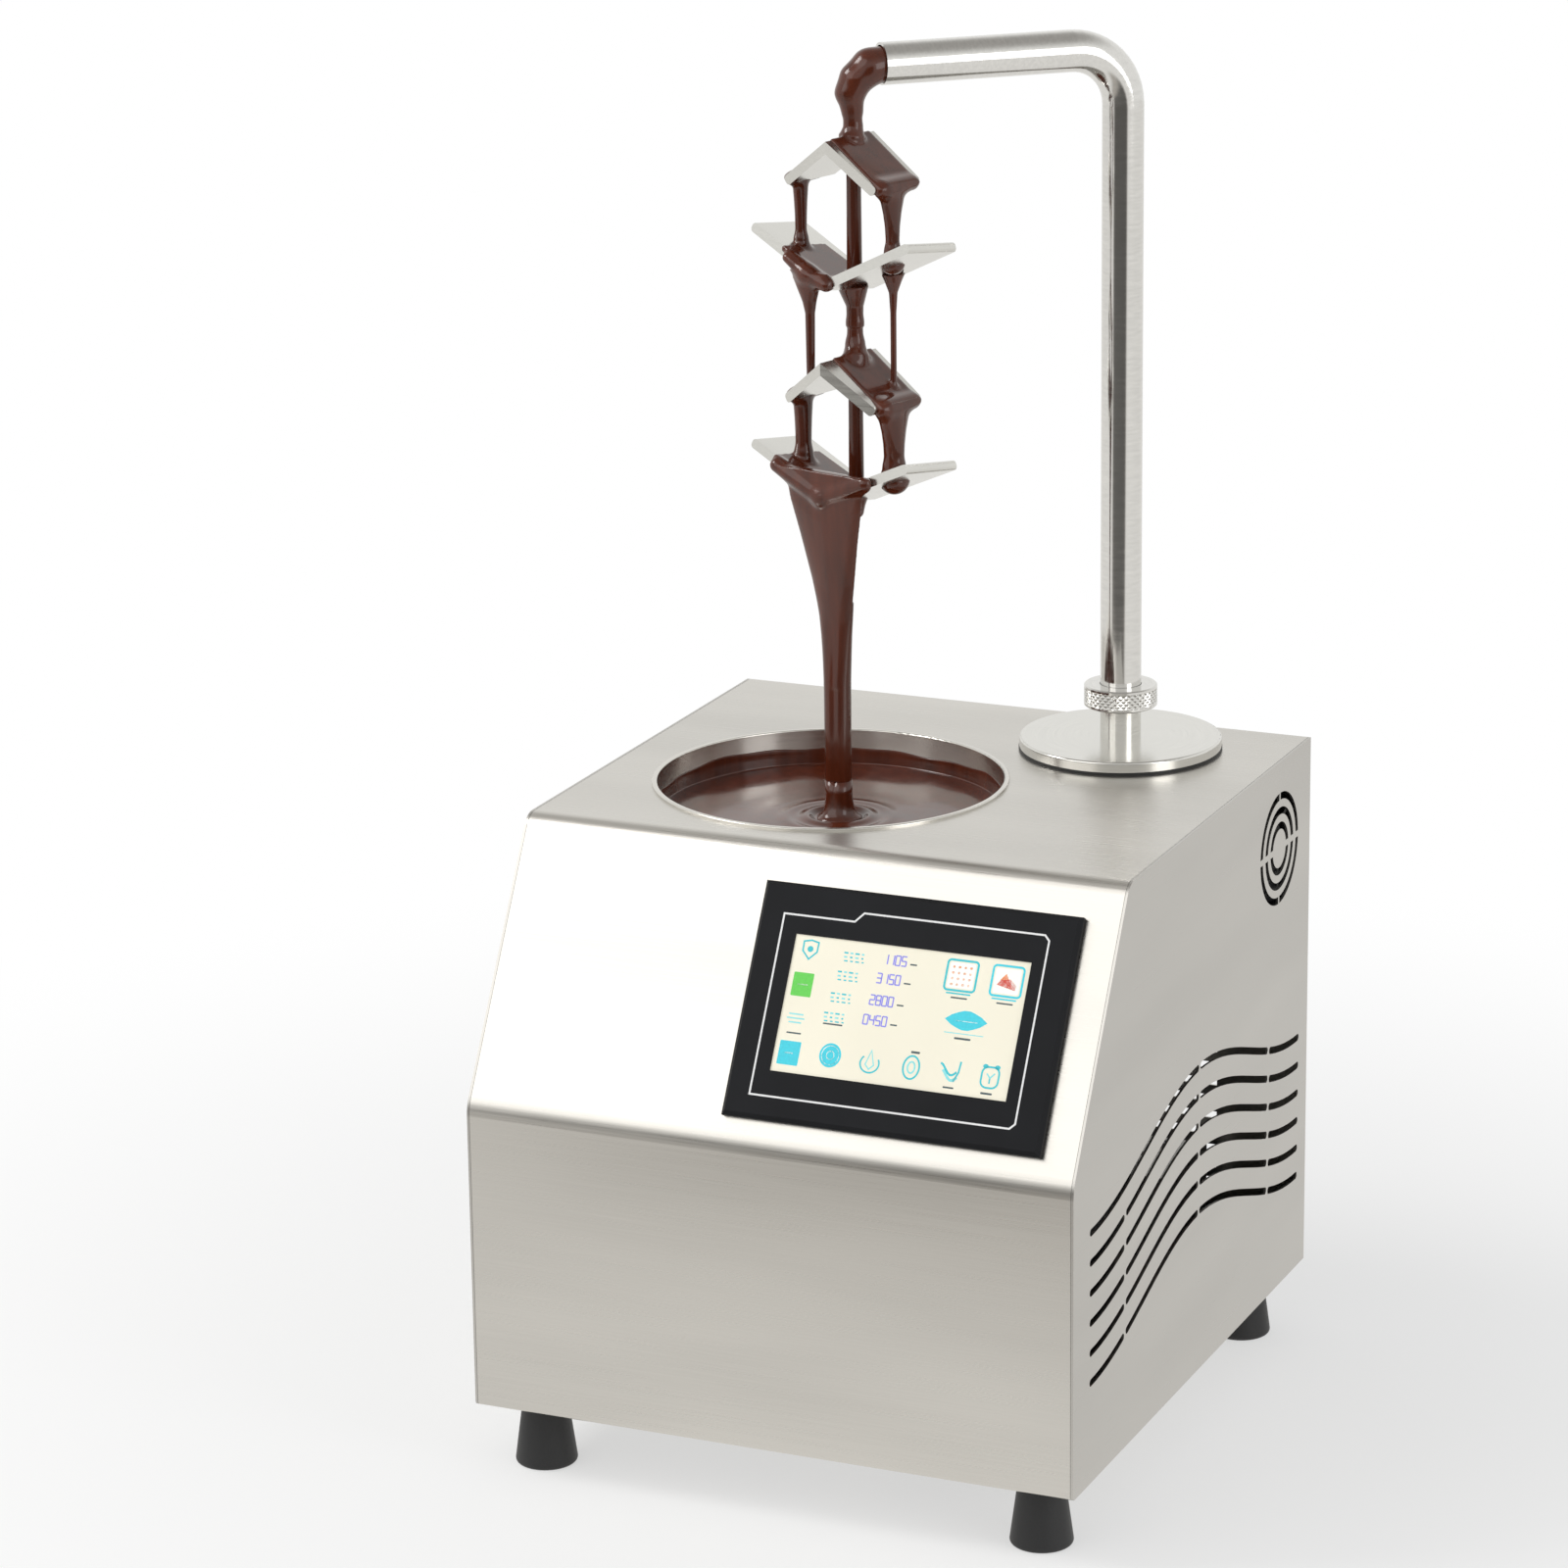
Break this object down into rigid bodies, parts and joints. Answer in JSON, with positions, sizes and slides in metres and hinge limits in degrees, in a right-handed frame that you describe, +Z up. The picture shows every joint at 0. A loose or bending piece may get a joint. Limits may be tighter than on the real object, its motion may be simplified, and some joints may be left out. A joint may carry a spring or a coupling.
{
  "type": "chocolate tempering machine",
  "caption": "Table-top chocolate tempering machine with a heated bowl, auger pump, swivelling spout, tiered cascade and touch panel in a vented steel case.",
  "frame": {"origin": "on the table under the middle of the case", "axes": "+Z up, -Y towards the front with the control slope, +X to the machine's right as seen from the front"},
  "size_m": [0.38, 0.41, 0.829],
  "materials": {
    "case_steel": "brushed stainless sheet",
    "bowl_steel": "spun and polished stainless",
    "pipe_steel": "polished stainless tube and turned parts",
    "plate_steel": "stainless plate",
    "foot_rubber": "matt black rubber",
    "seal_rubber": "black food-grade rubber",
    "zinc": "plated screws and nuts",
    "chocolate": "wet glossy dark chocolate",
    "heater_silicone": "orange silicone heater mat",
    "lagging": "glass-fibre wrap",
    "bronze": "sintered bronze",
    "motor_paint": "satin grey-black paint",
    "bezel_black": "satin black plastic",
    "display": "lit display behind its film",
    "housing_grey": "grained dark plastic",
    "fan_black": "black glass-filled plastic",
    "supply_metal": "folded aluminium case",
    "board_green": "circuit board",
    "socket_black": "black moulded plastic"
  },
  "bodies": {
    "machine": {"front_top_cover": "case_steel", "left_side_panel": "case_steel", "right_side_panel": "case_steel", "rear_panel": "case_steel", "base_plate": "case_steel", "foot_front_left": "foot_rubber", "foot_front_right": "foot_rubber", "foot_rear_left": "foot_rubber", "foot_rear_right": "foot_rubber", "foot_screws": "zinc", "foot_nuts": "zinc", "case_screws": "zinc", "bowl": "bowl_steel", "bowl_heater": "heater_silicone", "bowl_insulation": "lagging", "transfer_pipe": "pipe_steel", "pipe_clamps": "plate_steel", "pump_barrel": "pipe_steel", "barrel_heater": "heater_silicone", "temperature_probe": "pipe_steel", "barrel_cap": "pipe_steel", "shaft_bush": "bronze", "shaft_seal": "seal_rubber", "gear_motor": "motor_paint", "motor_bracket": "plate_steel", "bracket_screws": "zinc", "disc_gasket": "seal_rubber", "spout_flange": "pipe_steel", "flange_nuts": "zinc", "union_seal": "seal_rubber", "chocolate_bath": "chocolate", "chocolate_splash": "chocolate", "panel_gasket": "seal_rubber", "panel_bezel": "bezel_black", "panel_display": "display", "panel_housing": "housing_grey", "panel_clamps": "zinc", "fan_frame": "fan_black", "fan_nuts": "zinc", "power_supply": "supply_metal", "board_standoffs": "zinc", "control_board": "board_green", "power_inlet": "socket_black", "switch_housing": "socket_black"},
    "union": {"union_nut": "pipe_steel"},
    "spout": {"spout_pipe": "pipe_steel"},
    "cascade": {"cascade_rod": "pipe_steel", "upper_roof_plate": "plate_steel", "upper_trough_plate": "plate_steel", "lower_roof_plate": "plate_steel", "lower_trough_plate": "plate_steel", "chocolate_falls": "chocolate", "chocolate_stream": "chocolate"},
    "auger": {"auger_screw": "pipe_steel", "shaft_coupling": "supply_metal", "gearbox_shaft": "zinc"},
    "impeller": {"fan_impeller": "fan_black"},
    "rocker": {"switch_rocker": "socket_black"}
  },
  "joints": [
    {"name": "union_nut_turn", "type": "hinge", "parent": "machine", "child": "union", "pos_m": [0.0886, 0.1415, 0.42], "axis": [0, 0, 1], "range_deg": [0, 180]},
    {"name": "spout_swivel", "type": "hinge", "parent": "machine", "child": "spout", "pos_m": [0.0886, 0.1415, 0.42], "axis": [0, 0, 1], "continuous": true},
    {"name": "cascade_pull", "type": "slide", "parent": "spout", "child": "cascade", "axis": [-0.736, -0.677, 0], "range_m": [0, 0.04]},
    {"name": "auger_spin", "type": "hinge", "parent": "machine", "child": "auger", "pos_m": [0.0886, 0.1415, 0.2], "axis": [0, 0, 1], "continuous": true},
    {"name": "fan_spin", "type": "hinge", "parent": "machine", "child": "impeller", "pos_m": [0.175, 0.147, 0.3305], "axis": [1, 0, 0], "continuous": true},
    {"name": "switch_rock", "type": "hinge", "parent": "machine", "child": "rocker", "pos_m": [-0.086, 0.196, 0.0885], "axis": [1, 0, 0], "range_deg": [0, 24]}
  ]
}
